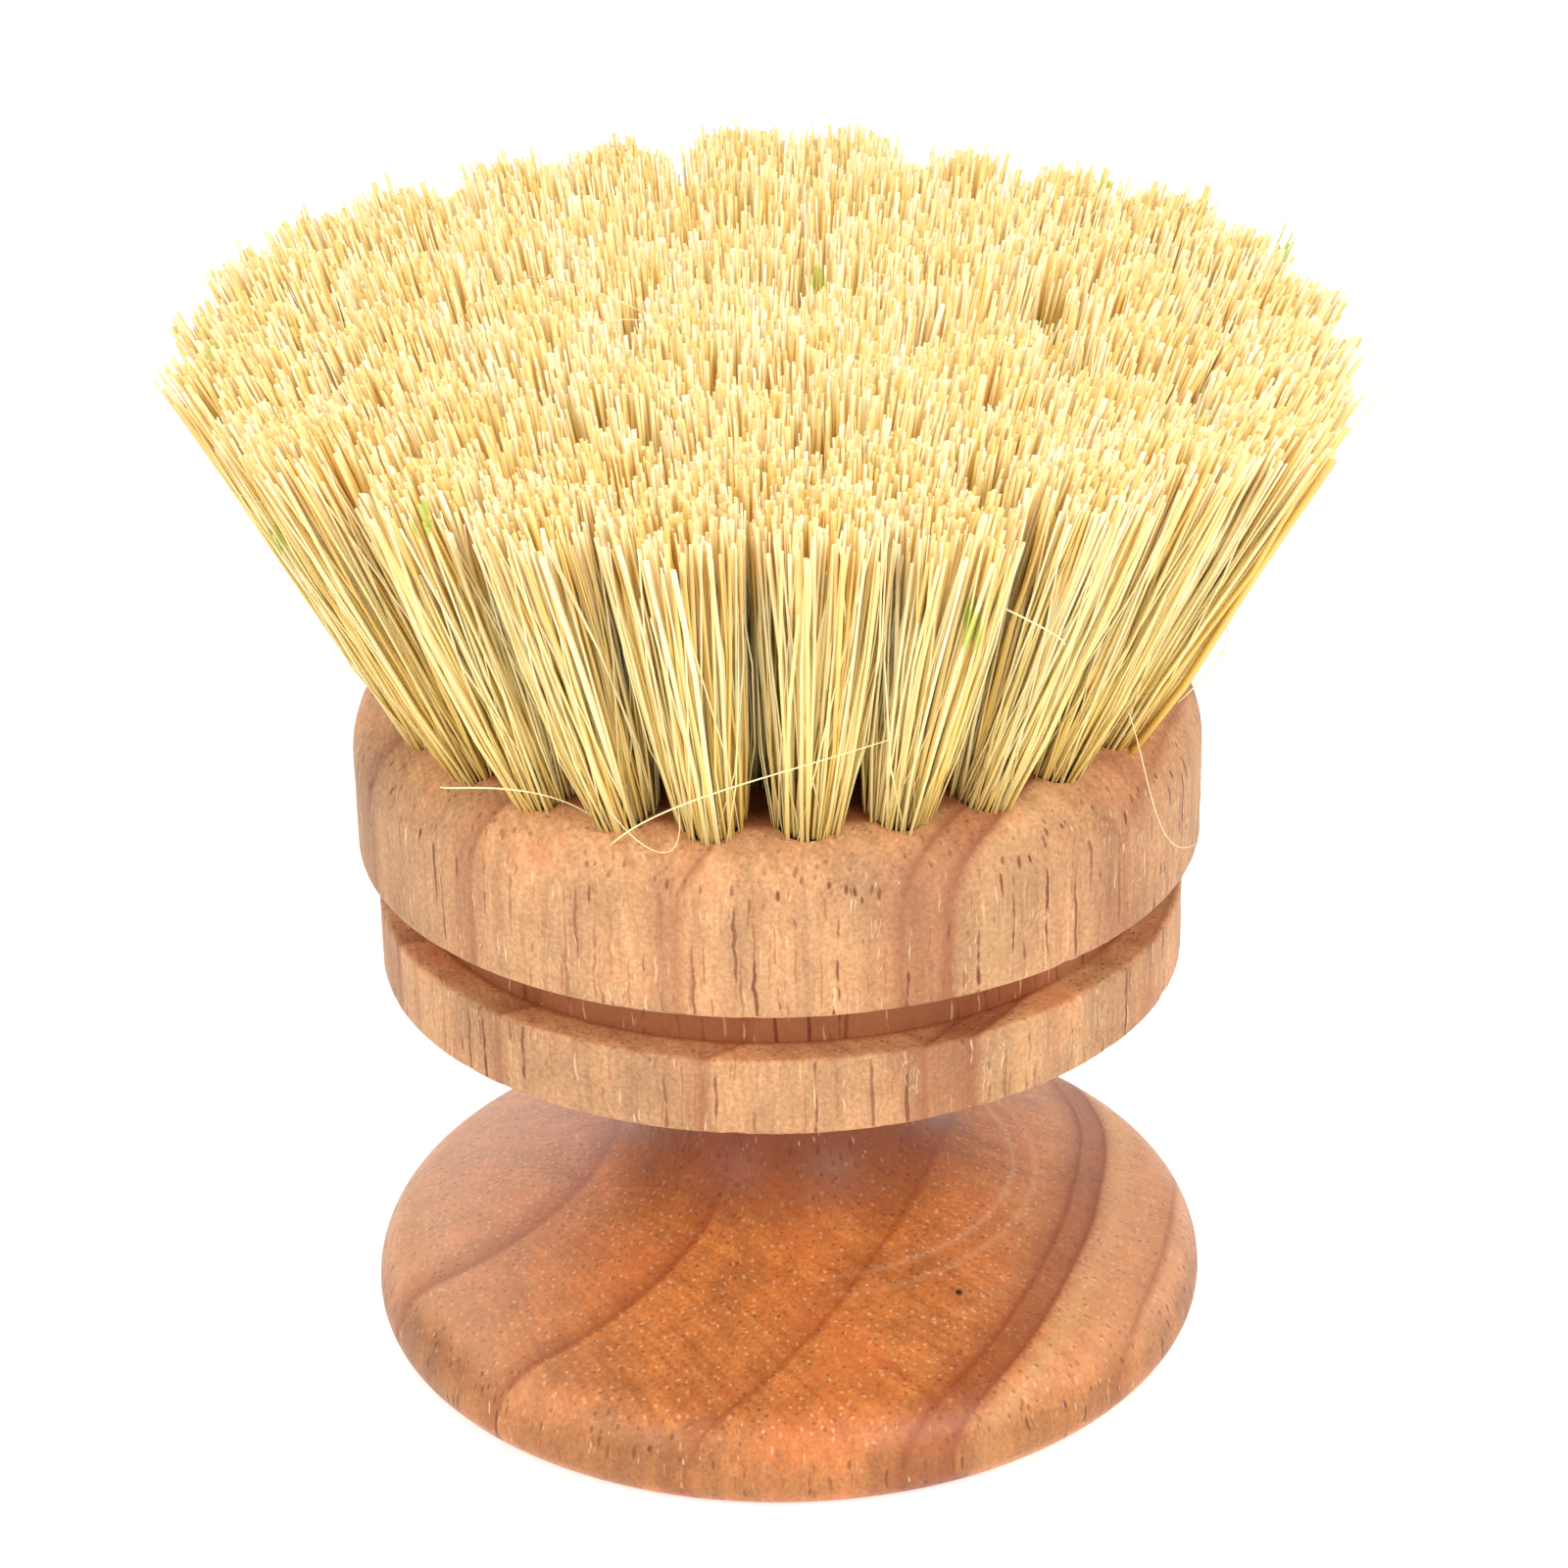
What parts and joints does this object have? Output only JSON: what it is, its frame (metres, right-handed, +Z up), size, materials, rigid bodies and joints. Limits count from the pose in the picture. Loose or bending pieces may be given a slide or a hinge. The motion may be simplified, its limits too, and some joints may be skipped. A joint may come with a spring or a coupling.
{
  "type": "dish brush",
  "caption": "Round hand brush for dishes: turned wooden head and palm knob, with fanned tufts of stiff plant fibre trimmed level.",
  "frame": {"origin": "centre of the knob's flat foot, on the surface that the brush stands on", "axes": "+Z up along the turning axis, from the knob to the bristle tips; -Y is the side that the picture shows"},
  "size_m": [0.0666, 0.0664, 0.063],
  "materials": {
    "turned_wood": "turned, sanded and oiled to a low sheen",
    "plant_fibre": "matte plant fibre"
  },
  "bodies": {
    "root": {"turned_body": "turned_wood", "tuft_ring1_01": "plant_fibre", "tuft_ring1_02": "plant_fibre", "tuft_ring1_03": "plant_fibre", "tuft_ring1_04": "plant_fibre", "tuft_ring1_05": "plant_fibre", "tuft_ring1_06": "plant_fibre", "tuft_ring1_07": "plant_fibre", "tuft_ring1_08": "plant_fibre", "tuft_ring1_09": "plant_fibre", "tuft_ring1_10": "plant_fibre", "tuft_ring1_11": "plant_fibre", "tuft_ring1_12": "plant_fibre", "tuft_ring1_13": "plant_fibre", "tuft_ring1_14": "plant_fibre", "tuft_ring1_15": "plant_fibre", "tuft_ring1_16": "plant_fibre", "tuft_ring1_17": "plant_fibre", "tuft_ring1_18": "plant_fibre", "tuft_ring1_19": "plant_fibre", "tuft_ring1_20": "plant_fibre", "tuft_ring1_21": "plant_fibre", "tuft_ring1_22": "plant_fibre", "tuft_ring1_23": "plant_fibre", "tuft_ring1_24": "plant_fibre", "tuft_ring1_25": "plant_fibre", "tuft_ring1_26": "plant_fibre", "tuft_ring2_01": "plant_fibre", "tuft_ring2_02": "plant_fibre", "tuft_ring2_03": "plant_fibre", "tuft_ring2_04": "plant_fibre", "tuft_ring2_05": "plant_fibre", "tuft_ring2_06": "plant_fibre", "tuft_ring2_07": "plant_fibre", "tuft_ring2_08": "plant_fibre", "tuft_ring2_09": "plant_fibre", "tuft_ring2_10": "plant_fibre", "tuft_ring2_11": "plant_fibre", "tuft_ring2_12": "plant_fibre", "tuft_ring2_13": "plant_fibre", "tuft_ring2_14": "plant_fibre", "tuft_ring2_15": "plant_fibre", "tuft_ring2_16": "plant_fibre", "tuft_ring2_17": "plant_fibre", "tuft_ring3_01": "plant_fibre", "tuft_ring3_02": "plant_fibre", "tuft_ring3_03": "plant_fibre", "tuft_ring3_04": "plant_fibre", "tuft_ring3_05": "plant_fibre", "tuft_ring3_06": "plant_fibre", "tuft_ring3_07": "plant_fibre", "tuft_ring3_08": "plant_fibre", "tuft_ring3_09": "plant_fibre", "tuft_ring3_10": "plant_fibre", "tuft_ring3_11": "plant_fibre", "tuft_ring4_01": "plant_fibre", "tuft_ring4_02": "plant_fibre", "tuft_ring4_03": "plant_fibre", "tuft_ring4_04": "plant_fibre"}
  },
  "joints": []
}
